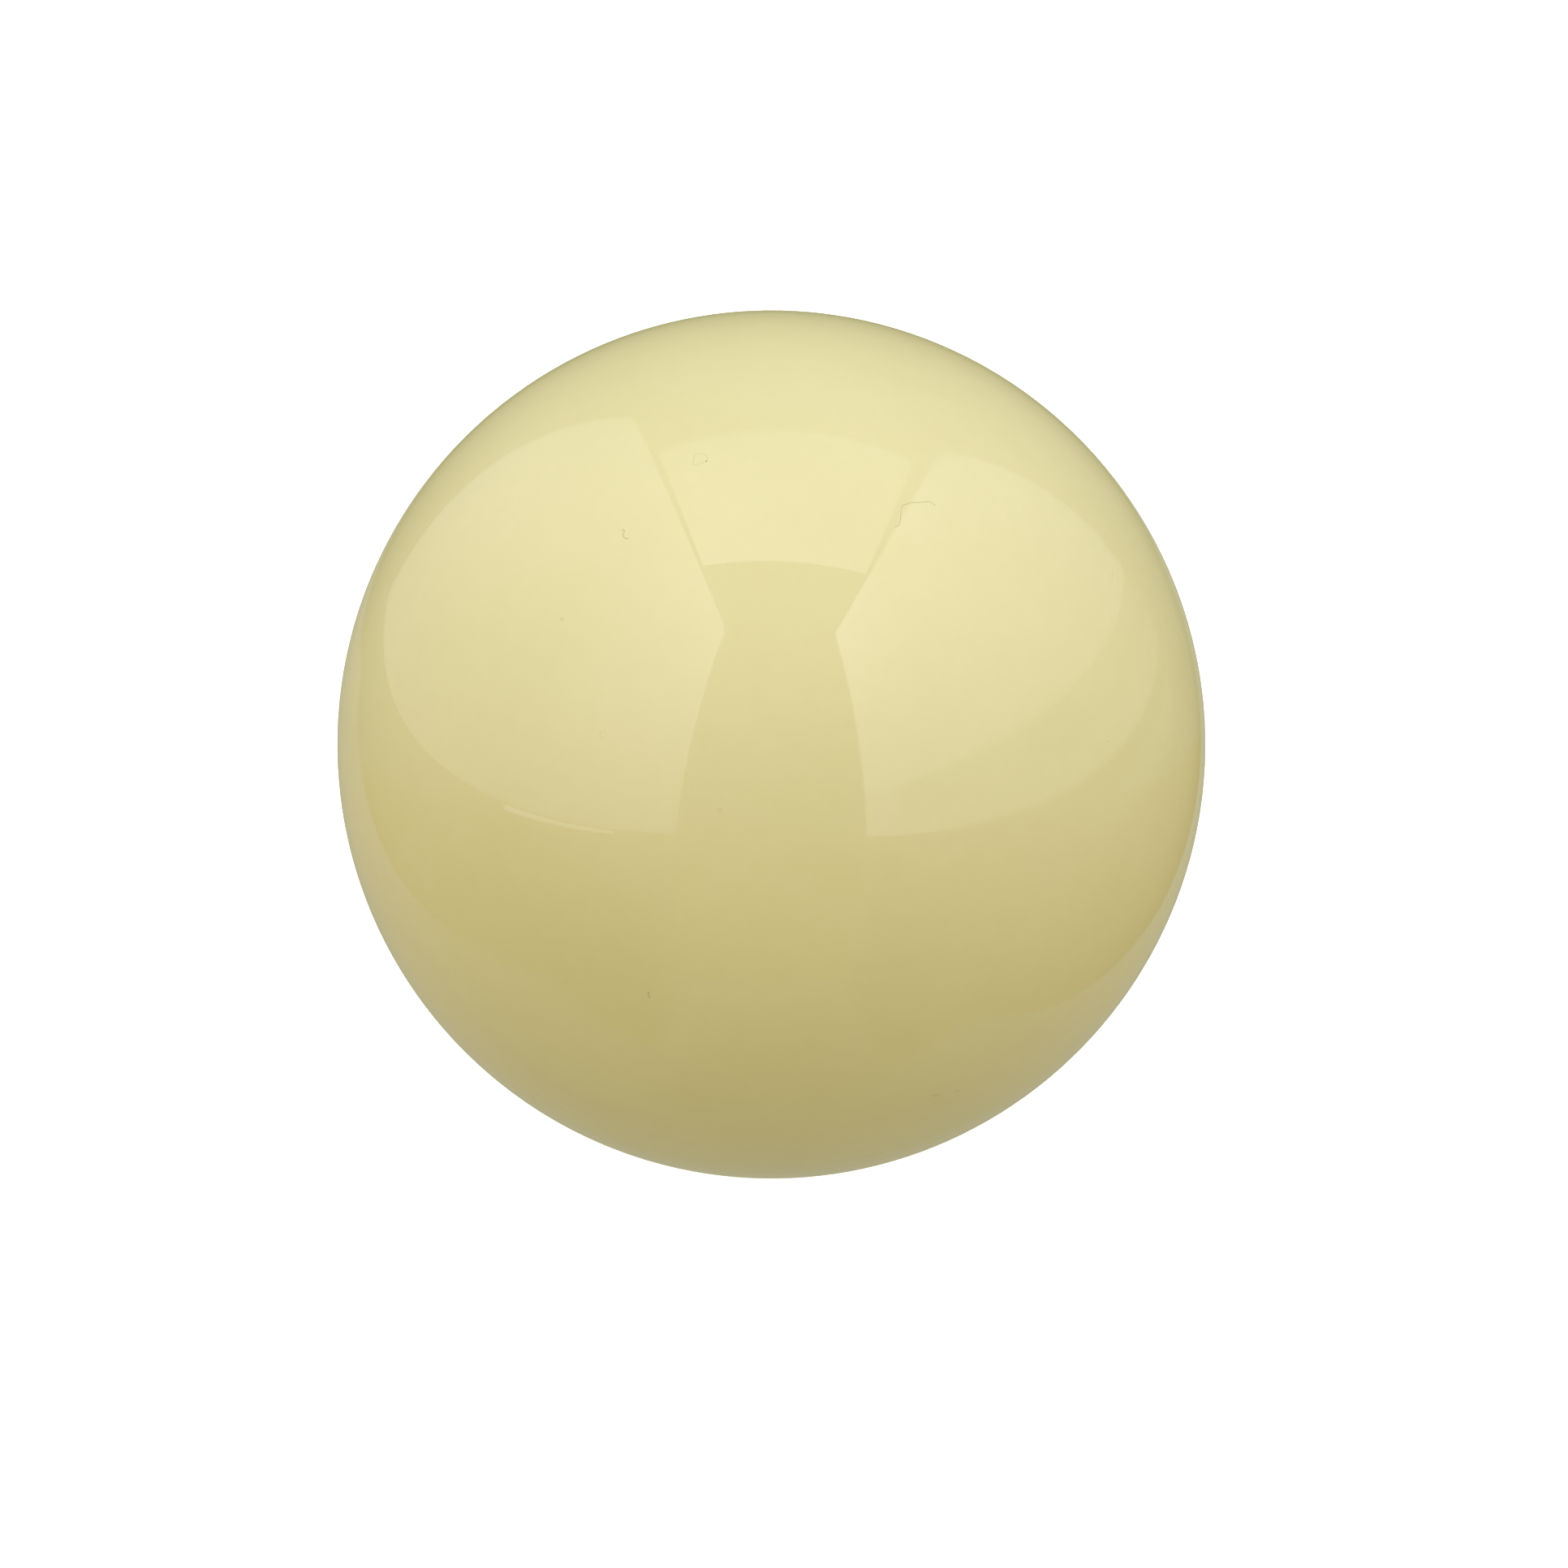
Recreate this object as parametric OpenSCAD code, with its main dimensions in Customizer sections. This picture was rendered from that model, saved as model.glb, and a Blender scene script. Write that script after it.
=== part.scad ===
/* [Ball] */
// Ball diameter: 57.15 for American pool, 61.5 for carom, 52.5 for snooker
ball_d = 57.15; // [47.6:0.05:68]
// Cast resin colour
ball_colour = "#E2D9A0"; // [#E2D9A0:Aged ivory, #FFFFFF:White, #F1D95B:Yellow]

/* [Hidden] */
// Only the preview is drawn with flats: the solid itself is a true sphere
preview_fn = 180;

// One solid casting, ground and polished all over, with no core, seam or plug.
// The origin is the ball's centre, and it rests on the lowest point, at z = -ball_d / 2.
module ball() {
    color(ball_colour)
        sphere(d = ball_d, $fn = preview_fn);
}

ball();
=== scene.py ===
"""The looks of the cue ball: a polished ball of cast resin on white paper, under three softboxes.

The ball is one mesh. It is an icosphere of the CAD ball's radius, split finely where its surface is
worn, and the wear is cut into it: a hairline crack, a few scratches and nicks, and small dents. The
"stain" on each point of the mesh says how much dirt (above 0) or pale bruising (below 0) it holds,
and the resin's material reads it. Lengths are in metres and angles in degrees.

The places of the front marks, the table's outline, the camera and the lamps' places, sizes and
brightness weren't all chosen by hand: scratch scripts worked them out from points picked by eye on
the photo, or fitted them to it, and they were then rounded or changed by hand.
"""
import math
import random
from typing import NamedTuple

import bmesh
import bpy
import numpy as np
from mathutils import Matrix, Vector


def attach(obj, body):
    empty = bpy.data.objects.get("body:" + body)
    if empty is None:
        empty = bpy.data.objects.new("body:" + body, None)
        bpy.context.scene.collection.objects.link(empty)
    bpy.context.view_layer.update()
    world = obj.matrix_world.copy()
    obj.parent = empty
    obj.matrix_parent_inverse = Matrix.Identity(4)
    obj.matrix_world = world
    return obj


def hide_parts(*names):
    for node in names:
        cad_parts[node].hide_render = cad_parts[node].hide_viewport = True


MM = 0.001

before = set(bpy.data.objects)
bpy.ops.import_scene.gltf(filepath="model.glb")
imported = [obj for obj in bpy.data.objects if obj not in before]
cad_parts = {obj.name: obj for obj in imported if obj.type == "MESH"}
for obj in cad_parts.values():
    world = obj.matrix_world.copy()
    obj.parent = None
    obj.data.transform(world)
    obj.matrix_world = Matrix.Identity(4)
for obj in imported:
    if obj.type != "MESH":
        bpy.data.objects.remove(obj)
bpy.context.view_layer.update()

# The corners of the CAD ball's mesh all lie on the real sphere, round the origin
RADIUS = max(vertex.co.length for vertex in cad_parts["ball"].data.vertices)

# ---------------------------------------------------------------------------- the ball's wear


class Mark(NamedTuple):
    """A scratch, nick, dent or spot on the ball."""

    path: list  # (azimuth, elevation) of its corners: azimuth from the front, -Y, towards +X
    half_width: float  # from its middle line to its edge
    depth: float  # how far its middle goes into the ball
    stain: float  # 1 is full of dirt, 0 is clean and -1 is bruised white


def ring(azimuth, elevation, size):
    """A closed path of 8 corners round a point, size degrees across."""
    turns = [math.radians(45 * step) for step in range(9)]
    wide = size / 2 / math.cos(math.radians(elevation))
    high = size / 2
    return [(azimuth + wide * math.cos(t), elevation + high * math.sin(t)) for t in turns]


HAIRLINE_CRACK = [
    (21.1, 40.3), (21.8, 40.4), (22.3, 41.0), (22.8, 42.2), (23.2, 42.9), (23.7, 43.4),
    (24.7, 43.5), (25.5, 43.7), (27.2, 43.5), (28.9, 43.6), (29.4, 43.3), (29.8, 42.9),
]
LOOP_SCRATCH = [
    (-15.8, 50.3), (-15.7, 51.2), (-16.1, 52.0), (-15.3, 51.9), (-14.4, 52.2), (-13.6, 52.0),
    (-13.0, 51.5), (-13.1, 51.0), (-13.4, 50.9), (-14.5, 50.4), (-15.2, 50.2), (-15.8, 50.3),
]
SQUIGGLE = [
    (-25.3, 39.4), (-25.1, 39.7), (-24.7, 39.4), (-24.9, 39.1), (-24.7, 38.6), (-24.2, 38.4),
    (-23.7, 38.4),
]

FRONT_MARKS = [
    Mark(HAIRLINE_CRACK, 0.04 * MM, 0.010 * MM, 0.45),
    Mark(LOOP_SCRATCH, 0.035 * MM, 0.005 * MM, 0.22),
    Mark([(-13.1, 50.9)], 0.08 * MM, 0.015 * MM, 1.00),
    Mark(SQUIGGLE, 0.04 * MM, 0.008 * MM, 0.50),
    Mark([(-16.9, -21.6), (-17.1, -22.0), (-16.9, -22.5)], 0.05 * MM, 0.015 * MM, 0.45),
    Mark(ring(-22.2, 12.6, 1.0), 0.04 * MM, 0.004 * MM, 0.12),
    Mark([(-31.1, 26.7)], 0.22 * MM, 0.004 * MM, 0.16),
    Mark([(-6.4, 3.9)], 0.20 * MM, 0.003 * MM, 0.10),
    Mark([(-51.7, -15.4)], 0.16 * MM, 0.004 * MM, 0.16),
    Mark([(49.3, 8.5)], 0.06 * MM, 0.006 * MM, 0.60),
    Mark([(-24.5, 60.6)], 0.06 * MM, 0.006 * MM, -0.60),
    Mark([(82.3, 17.4)], 0.09 * MM, 0.012 * MM, -0.80),
    Mark([(-8.2, 63.3), (-3.6, 63.3)], 0.04 * MM, 0.004 * MM, -0.25),
    Mark([(-9.8, 7.4), (-9.7, 5.9)], 0.04 * MM, 0.004 * MM, -0.25),
    Mark([(61.4, 29.2), (60.1, 28.0)], 0.05 * MM, 0.004 * MM, 0.15),
    Mark([(29.5, -41.9), (30.4, -41.8)], 0.25 * MM, 0.002 * MM, 0.12),
    Mark([(33.7, -41.6), (34.5, -41.7)], 0.22 * MM, 0.002 * MM, 0.10),
]


def back_marks(count, seed):
    """Short scratches and specks of the same kinds on the rear half, where nothing is known."""
    chance = random.Random(seed)
    marks = []
    for _ in range(count):
        azimuth = chance.uniform(105, 255)
        elevation = chance.uniform(-60, 65)
        turn = chance.uniform(0, math.pi)
        length = chance.choice([0, 0, 0.8, 1.6, 3.0])
        end = (azimuth + length * math.cos(turn), elevation + length * math.sin(turn))
        stain = chance.choice([0.15, 0.3, 0.5, -0.3])
        marks.append(Mark([(azimuth, elevation), end], 0.05 * MM, 0.008 * MM, stain))
    return marks


MARKS = FRONT_MARKS + back_marks(count=14, seed=3)

# ---------------------------------------------------------------------------- the ball's mesh


def surface_point(azimuth, elevation):
    """The point of the ball's surface in a direction."""
    turn = math.radians(azimuth)
    rise = math.radians(elevation)
    level = math.cos(rise)
    return RADIUS * np.array([math.sin(turn) * level, -math.cos(turn) * level, math.sin(rise)])


def rounded(path, passes=2):
    """The path with its corners cut off, so that few points give a smooth line."""
    for _ in range(passes):
        cut = [path[0]]
        for start, end in zip(path[:-1], path[1:]):
            cut.append(0.75 * start + 0.25 * end)
            cut.append(0.25 * start + 0.75 * end)
        path = cut + [path[-1]]
    return path


class PlacedMark:
    """A mark laid on the ball."""

    def __init__(self, mark):
        self.mark = mark
        corners = [surface_point(*corner) for corner in mark.path]
        self.line = rounded(corners) if len(corners) > 2 else corners
        self.centre = np.mean(corners, axis=0)
        spread = max(np.linalg.norm(corner - self.centre) for corner in corners)
        self.reach = spread + mark.half_width

    def distance(self, points):
        """How far each point is from the mark's middle line."""
        if len(self.line) == 1:
            return np.linalg.norm(points - self.line[0], axis=1)
        nearest = np.full(len(points), np.inf)
        for start, end in zip(self.line[:-1], self.line[1:]):
            along = end - start
            share = (points - start) @ along / max(along @ along, 1e-16)
            foot = start + np.clip(share, 0, 1)[:, None] * along
            nearest = np.minimum(nearest, np.linalg.norm(points - foot, axis=1))
        return nearest

    def add_to(self, total, points, amount):
        """Adds amount to total in the middle of the mark, falling smoothly to none at its edge."""
        near = np.linalg.norm(points - self.centre, axis=1) < self.reach
        if near.any():
            share = self.distance(points[near]) / self.mark.half_width
            total[near] += amount * np.clip(1 - share**2, 0, 1) ** 2


PLACED = [PlacedMark(mark) for mark in MARKS]


def relief(points):
    """How far each point of the surface stands above the sphere: below 0 in the marks."""
    height = np.zeros(len(points))
    for placed in PLACED:
        placed.add_to(height, points, -placed.mark.depth)
    return height


def stain(points):
    """The dirt, or below 0 the bruising, at each point of the surface."""
    total = np.zeros(len(points))
    for placed in PLACED:
        placed.add_to(total, points, placed.mark.stain)
    return np.clip(total, -1, 1)


def put_on_sphere(mesh_in_work):
    for vertex in mesh_in_work.verts:
        vertex.co = vertex.co.normalized() * RADIUS


def edges_to_split(mesh_in_work, cells_per_half_width):
    """The edges that are too long to show the mark that they lie on."""
    ends = np.array([[end.co for end in edge.verts] for edge in mesh_in_work.edges])
    middles = ends.mean(axis=1)
    lengths = np.linalg.norm(ends[:, 0] - ends[:, 1], axis=1)
    too_long = np.zeros(len(ends), bool)
    for placed in PLACED:
        wanted = placed.mark.half_width / cells_per_half_width
        away = np.linalg.norm(middles - placed.centre, axis=1)
        near = np.flatnonzero((lengths > wanted) & (away < placed.reach + lengths))
        if len(near):
            close = placed.distance(middles[near]) < placed.mark.half_width + 0.8 * lengths[near]
            too_long[near[close]] = True
    edges = list(mesh_in_work.edges)
    return [edges[index] for index in np.flatnonzero(too_long)]


def split_near_marks(mesh_in_work, passes=7, cells_per_half_width=2.2):
    """Halves the edges at the marks, pass by pass, and keeps every face a triangle."""
    for _ in range(passes):
        edges = edges_to_split(mesh_in_work, cells_per_half_width)
        if not edges:
            return
        bmesh.ops.subdivide_edges(mesh_in_work, edges=edges, cuts=1, use_grid_fill=True)
        wide_faces = [face for face in mesh_in_work.faces if len(face.verts) > 3]
        bmesh.ops.triangulate(mesh_in_work, faces=wide_faces)
        put_on_sphere(mesh_in_work)


def outward_normals(points, step=0.5e-6):
    """The normals of the marked surface: the sphere's own, leaned by the slope of the relief."""
    radial = points / np.linalg.norm(points, axis=1)[:, None]
    pole = np.where(np.abs(radial[:, 2:]) < 0.9, [[0, 0, 1.0]], [[1.0, 0, 0]])
    east = np.cross(pole, radial)
    east /= np.linalg.norm(east, axis=1)[:, None]
    north = np.cross(radial, east)
    normals = radial.copy()
    for direction in (east, north):
        rise = relief(points + step * direction) - relief(points - step * direction)
        normals -= direction * (rise / (2 * step))[:, None]
    return normals / np.linalg.norm(normals, axis=1)[:, None]


def build_ball():
    work = bmesh.new()
    bmesh.ops.create_icosphere(work, subdivisions=6, radius=RADIUS)
    put_on_sphere(work)
    split_near_marks(work)
    mesh = bpy.data.meshes.new("cue_ball")
    work.to_mesh(mesh)
    work.free()

    points = np.zeros(3 * len(mesh.vertices))
    mesh.vertices.foreach_get("co", points)
    points = points.reshape(-1, 3)
    dirt = mesh.attributes.new("stain", "FLOAT", "POINT")
    dirt.data.foreach_set("value", stain(points).astype(np.float32))
    marked = points * (1 + relief(points) / RADIUS)[:, None]
    mesh.vertices.foreach_set("co", marked.ravel())
    mesh.shade_smooth()
    mesh.normals_split_custom_set_from_vertices(outward_normals(points).tolist())
    mesh.update()

    ball = bpy.data.objects.new("cue_ball", mesh)
    bpy.context.scene.collection.objects.link(ball)
    mesh.materials.append(resin())
    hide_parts("ball")
    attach(ball, "root")
    return ball


# ---------------------------------------------------------------------------- materials


def add_node(tree, kind, inputs=None, **settings):
    """Adds a node with these settings, and gives each input a value or links it to a socket."""
    node = tree.nodes.new(kind)
    for name, value in settings.items():
        setattr(node, name, value)
    for name, value in (inputs or {}).items():
        if isinstance(value, bpy.types.NodeSocket):
            tree.links.new(value, node.inputs[name])
        else:
            node.inputs[name].default_value = value
    return node


def math_node(tree, operation, first, second, clamp=False):
    inputs = {0: first, 1: second}
    return add_node(tree, "ShaderNodeMath", inputs, operation=operation, use_clamp=clamp).outputs[0]


def mix_colours(tree, share, first, second):
    """The first colour where share is 0 and the second where it is 1."""
    node = add_node(tree, "ShaderNodeMix", data_type="RGBA")
    for index, value in ((0, share), (6, first), (7, second)):
        if isinstance(value, bpy.types.NodeSocket):
            tree.links.new(value, node.inputs[index])
        else:
            node.inputs[index].default_value = value
    return node.outputs[2]


def remap(tree, value, old_range, new_range):
    inputs = {
        "Value": value,
        "From Min": old_range[0],
        "From Max": old_range[1],
        "To Min": new_range[0],
        "To Max": new_range[1],
    }
    return add_node(tree, "ShaderNodeMapRange", inputs).outputs["Result"]


def noise(tree, place, grain, detail=3.0):
    """Noise from 0 to 1, with lumps about grain metres across."""
    inputs = {"Vector": place, "Scale": 1 / grain, "Detail": detail}
    return add_node(tree, "ShaderNodeTexNoise", inputs).outputs["Fac"]


def new_material(name):
    material = bpy.data.materials.new(name)
    material.use_nodes = True
    return material, material.node_tree, material.node_tree.nodes["Principled BSDF"]


RESIN = (0.87, 0.815, 0.535, 1)
RESIN_DEEP = (0.84, 0.785, 0.495, 1)
DIRT = (0.12, 0.105, 0.02, 1)
BRUISE = (0.95, 0.94, 0.88, 1)


def resin():
    """Polished ivory-coloured resin: faintly cloudy, with fine wear from play in its gloss."""
    material, tree, shader = new_material("polished_resin")
    place = add_node(tree, "ShaderNodeTexCoord").outputs["Object"]

    clouds = noise(tree, place, grain=14 * MM)
    flecks = noise(tree, place, grain=1.2 * MM)
    cloudy = math_node(tree, "ADD", remap(tree, clouds, (0.35, 0.65), (0, 0.8)),
                       remap(tree, flecks, (0.4, 0.6), (0, 0.2)))
    clean = mix_colours(tree, cloudy, RESIN, RESIN_DEEP)

    held = add_node(tree, "ShaderNodeAttribute", attribute_name="stain").outputs["Fac"]
    patches = remap(tree, noise(tree, place, grain=0.12 * MM), (0.3, 0.6), (0.5, 1.1))
    dirt = math_node(tree, "MULTIPLY", held, patches, clamp=True)
    bruise = math_node(tree, "MULTIPLY", held, -1.0, clamp=True)
    dirty = mix_colours(tree, dirt, clean, DIRT)
    tree.links.new(mix_colours(tree, bruise, dirty, BRUISE), shader.inputs["Base Color"])

    haze = remap(tree, noise(tree, place, grain=9 * MM), (0.35, 0.65), (0.025, 0.045))
    worn = math_node(tree, "MULTIPLY", math_node(tree, "ABSOLUTE", held, 0.0), 0.35)
    tree.links.new(math_node(tree, "ADD", haze, worn), shader.inputs["Roughness"])

    ripple = noise(tree, place, grain=3 * MM, detail=2.0)
    bump = add_node(tree, "ShaderNodeBump", {"Height": ripple, "Strength": 1.0, "Distance": 0.4e-6})
    tree.links.new(bump.outputs["Normal"], shader.inputs["Normal"])

    shader.inputs["IOR"].default_value = 1.52
    return material


def floor_paper():
    """White paper that shines by itself, so that it stays white away from the lamps. Its glow
    weakens towards the ball: a painted shade round the ball's foot, added to the real shadow that
    the lamps cast there.
    """
    material, tree, shader = new_material("floor_paper")
    place = add_node(tree, "ShaderNodeNewGeometry").outputs["Position"]
    fibres = noise(tree, place, grain=0.8 * MM)
    away = add_node(tree, "ShaderNodeVectorMath", {0: place}, operation="LENGTH").outputs["Value"]
    tree.links.new(
        mix_colours(tree, fibres, (0.90, 0.90, 0.90, 1), (0.93, 0.93, 0.93, 1)),
        shader.inputs["Base Color"],
    )
    shader.inputs["Roughness"].default_value = 0.9
    shader.inputs["Emission Color"].default_value = (1, 1, 1, 1)
    # painted shade: the glow falls from 1.0 to 0.9 towards the ball's foot
    glow = remap(tree, away, (RADIUS, 4 * RADIUS), (0.9, 1.0))
    tree.links.new(glow, shader.inputs["Emission Strength"])
    return material


def table_glow():
    """An even glow: painted light standing in for the light that a lit table sends back to the ball.
    """
    material = bpy.data.materials.new("table_glow")
    material.use_nodes = True
    tree = material.node_tree
    tree.nodes.clear()
    glow = add_node(tree, "ShaderNodeEmission", {"Color": TABLE_GLOW})
    output = add_node(tree, "ShaderNodeOutputMaterial")
    tree.links.new(glow.outputs[0], output.inputs["Surface"])
    return material


# ---------------------------------------------------------------------------- table and room

# A glowing sheet, painted light in place of the lit table that the ball reflects, in mm from the
# ball's middle. It lies TABLE_DROP below the floor, has a tongue in front, and its sides spread to
# the back.
TABLE_OUTLINE = [
    (-26, -63), (23, -63), (22, -25), (47, -22), (54, -5), (68, 29), (80, 63), (91, 111),
    (250, 800), (-600, 800), (-159, 115), (-102, 23), (-80, -8), (-62, -28), (-24, -29),
]
TABLE_DROP = 30 * MM
TABLE_GLOW = (0.45, 0.435, 0.315, 1)
FLOOR_SIZE = 4.0


def flat_piece(name, corners, height, material):
    """A staged flat sheet at a height."""
    mesh = bpy.data.meshes.new(name)
    mesh.from_pydata([(x, y, height) for x, y in corners], [], [range(len(corners))])
    mesh.materials.append(material)
    piece = bpy.data.objects.new(name, mesh)
    bpy.context.scene.collection.objects.link(piece)
    return piece


def build_floor():
    """The floor that the camera sees, and the table under it that the ball sees instead."""
    half = FLOOR_SIZE / 2
    corners = [(-half, -half), (half, -half), (half, half), (-half, half)]
    floor = flat_piece("floor", corners, -RADIUS, floor_paper())
    floor.visible_diffuse = False
    floor.visible_glossy = False
    floor.visible_shadow = False

    outline = [(x * MM, y * MM) for x, y in TABLE_OUTLINE]
    table = flat_piece("table", outline, -RADIUS - TABLE_DROP, table_glow())
    table.visible_camera = False


class Softbox(NamedTuple):
    """A flat lamp. Its brightness adds to the room's behind it, and runs evenly between its corners.

    Its height runs up on the right lamp, down on the left one and to the back on the top one.
    """

    name: str
    centre: tuple
    facing: tuple  # the way it shines
    along: tuple  # the way its width runs
    width: float
    height: float
    first_edge: tuple  # brightness where its width starts: where its height starts and ends
    last_edge: tuple  # the same where its width ends


SOFTBOXES = [
    Softbox("left", (-0.498, -0.082, 0.537), (0.981, 0.177, -0.075), (-0.163, 0.974, 0.157),
            1.844, 1.194, (1.7, 0.8), (0.55, 0.3)),
    Softbox("right", (0.608, -0.210, 0.629), (-0.978, 0.205, 0.040), (0.209, 0.964, 0.162),
            1.734, 1.053, (1.35, 2.1), (0.33, 0.55)),
    Softbox("top", (0.031, -0.120, 0.554), (-0.061, -0.161, -0.985), (0.998, 0.017, -0.065),
            0.468, 0.445, (1.5, 0.6), (1.4, 0.6)),
]


class Strip(NamedTuple):
    """A narrow lit part at the foot of a softbox, in its plane."""

    name: str
    box: str
    start: float  # from the softbox's front edge
    end: float
    low: float  # above the softbox's low edge, or below it if less than 0
    high: float
    at_start: float  # brightness
    at_end: float


STRIPS = [
    Strip("right_corner", "right", 0.0, 0.24, -0.19, 0.0, 1.15, 0.95),
    Strip("right_shade", "right", 0.24, 1.734, -0.11, 0.0, 0.60, 0.06),
    Strip("right_slat", "right", 0.24, 1.734, -0.19, -0.11, 0.80, 0.16),
    Strip("right_low_slat", "right", 0.95, 1.734, -0.34, -0.25, 0.14, 0.10),
    Strip("left_hem", "left", 0.36, 0.74, -0.016, -0.004, 1.3, 1.3),
]


def axes(box):
    """The way the softbox's width runs, the way its height runs, and the way to its back."""
    back = -Vector(box.facing).normalized()
    across = back.cross(Vector(box.along)).normalized()
    return across.cross(back), across, back


def strip_softbox(strip):
    """The strip as a softbox of its own."""
    box = next(box for box in SOFTBOXES if box.name == strip.box)
    along, across, _ = axes(box)
    up = across if across.z > 0 else -across
    sideways = (strip.start + strip.end - box.width) / 2
    upwards = (strip.low + strip.high - box.height) / 2
    centre = Vector(box.centre) + along * sideways + up * upwards
    return Softbox(
        strip.name,
        tuple(centre),
        box.facing,
        box.along,
        width=strip.end - strip.start,
        height=strip.high - strip.low,
        first_edge=(strip.at_start, strip.at_start),
        last_edge=(strip.at_end, strip.at_end),
    )


def value_along(tree, place, centre, direction, length, ends):
    """A value that runs evenly from the first of the ends to the other over a length."""
    offset = add_node(tree, "ShaderNodeVectorMath", {0: place, 1: centre}, operation="SUBTRACT")
    inputs = {0: offset.outputs["Vector"], 1: direction}
    reached = add_node(tree, "ShaderNodeVectorMath", inputs, operation="DOT_PRODUCT")
    return remap(tree, reached.outputs["Value"], (-length / 2, length / 2), ends)


def build_softbox(box):
    """An area light: its power is set so that a strength of 1 is a brightness of 1."""
    lamp = bpy.data.lights.new(box.name, "AREA")
    lamp.shape = "RECTANGLE"
    lamp.size = box.width
    lamp.size_y = box.height
    lamp.energy = math.pi * box.width * box.height
    along, across, back = axes(box)

    lamp.use_nodes = True
    tree = lamp.node_tree
    place = add_node(tree, "ShaderNodeNewGeometry").outputs["Position"]
    first = value_along(tree, place, box.centre, across, box.height, box.first_edge)
    last = value_along(tree, place, box.centre, across, box.height, box.last_edge)
    brightness = value_along(tree, place, box.centre, along, box.width, (first, last))
    tree.links.new(brightness, tree.nodes["Emission"].inputs["Strength"])

    holder = bpy.data.objects.new(box.name, lamp)
    bpy.context.scene.collection.objects.link(holder)
    turn = Matrix((along, across, back)).transposed()
    holder.matrix_world = Matrix.Translation(box.centre) @ turn.to_4x4()
    holder.visible_camera = False


ROOM_HIGH = (0.32, 0.305, 0.15, 1)
ROOM_LOW_LEFT = (0.39, 0.27, 0.02, 1)
ROOM_LOW_FRONT = (0.45, 0.35, 0.02, 1)
ROOM_LOW_RIGHT = (0.33, 0.26, 0.07, 1)
ROOM_EDGE = -0.19  # the low parts of the room start at this height of a unit direction
FRONT_SPREAD = 0.54  # the front part's half width for each metre forward
BACKDROP = (1, 1, 1, 1)


def build_room():
    """A warm room for the ball to stand in and reflect, behind a white backdrop."""
    world = bpy.data.worlds.new("room")
    bpy.context.scene.world = world
    world.use_nodes = True
    tree = world.node_tree
    direction = add_node(tree, "ShaderNodeTexCoord").outputs["Generated"]
    parts = add_node(tree, "ShaderNodeSeparateXYZ", {"Vector": direction}).outputs
    spread = math_node(tree, "MULTIPLY", parts["Y"], FRONT_SPREAD)
    left = math_node(tree, "LESS_THAN", parts["X"], spread)
    right = math_node(tree, "GREATER_THAN", math_node(tree, "ADD", parts["X"], spread), 0.0)
    high = math_node(tree, "GREATER_THAN", parts["Z"], ROOM_EDGE)
    room = mix_colours(tree, left, ROOM_LOW_FRONT, ROOM_LOW_LEFT)
    room = mix_colours(tree, right, room, ROOM_LOW_RIGHT)
    room = mix_colours(tree, high, room, ROOM_HIGH)
    seen = add_node(tree, "ShaderNodeLightPath").outputs["Is Camera Ray"]
    tree.links.new(mix_colours(tree, seen, room, BACKDROP), tree.nodes["Background"].inputs["Color"])


# ---------------------------------------------------------------------------- camera

CAMERA_DISTANCE = 0.575
CAMERA_ELEVATION = 12.5
LENS_MM = 200.4
AIM_RIGHT = 0.83 * MM
AIM_DOWN = 2.6 * MM


def build_camera():
    """A long lens a little above the table, aimed just under and to the right of the centre."""
    data = bpy.data.cameras.new("camera")
    data.sensor_width = 36
    data.lens = LENS_MM
    data.clip_end = 50
    camera = bpy.data.objects.new("camera", data)
    bpy.context.scene.collection.objects.link(camera)
    rise = math.radians(CAMERA_ELEVATION)
    back = Vector((0, -math.cos(rise), math.sin(rise)))
    right = Vector((1, 0, 0))
    up = back.cross(right)
    aim = right * AIM_RIGHT - up * AIM_DOWN
    turn = Matrix((right, up, back)).transposed()
    camera.matrix_world = Matrix.Translation(aim + back * CAMERA_DISTANCE) @ turn.to_4x4()
    bpy.context.scene.camera = camera


build_camera()
build_room()
build_floor()
for softbox in SOFTBOXES + [strip_softbox(strip) for strip in STRIPS]:
    build_softbox(softbox)
build_ball()
bpy.context.scene.view_settings.view_transform = "Standard"
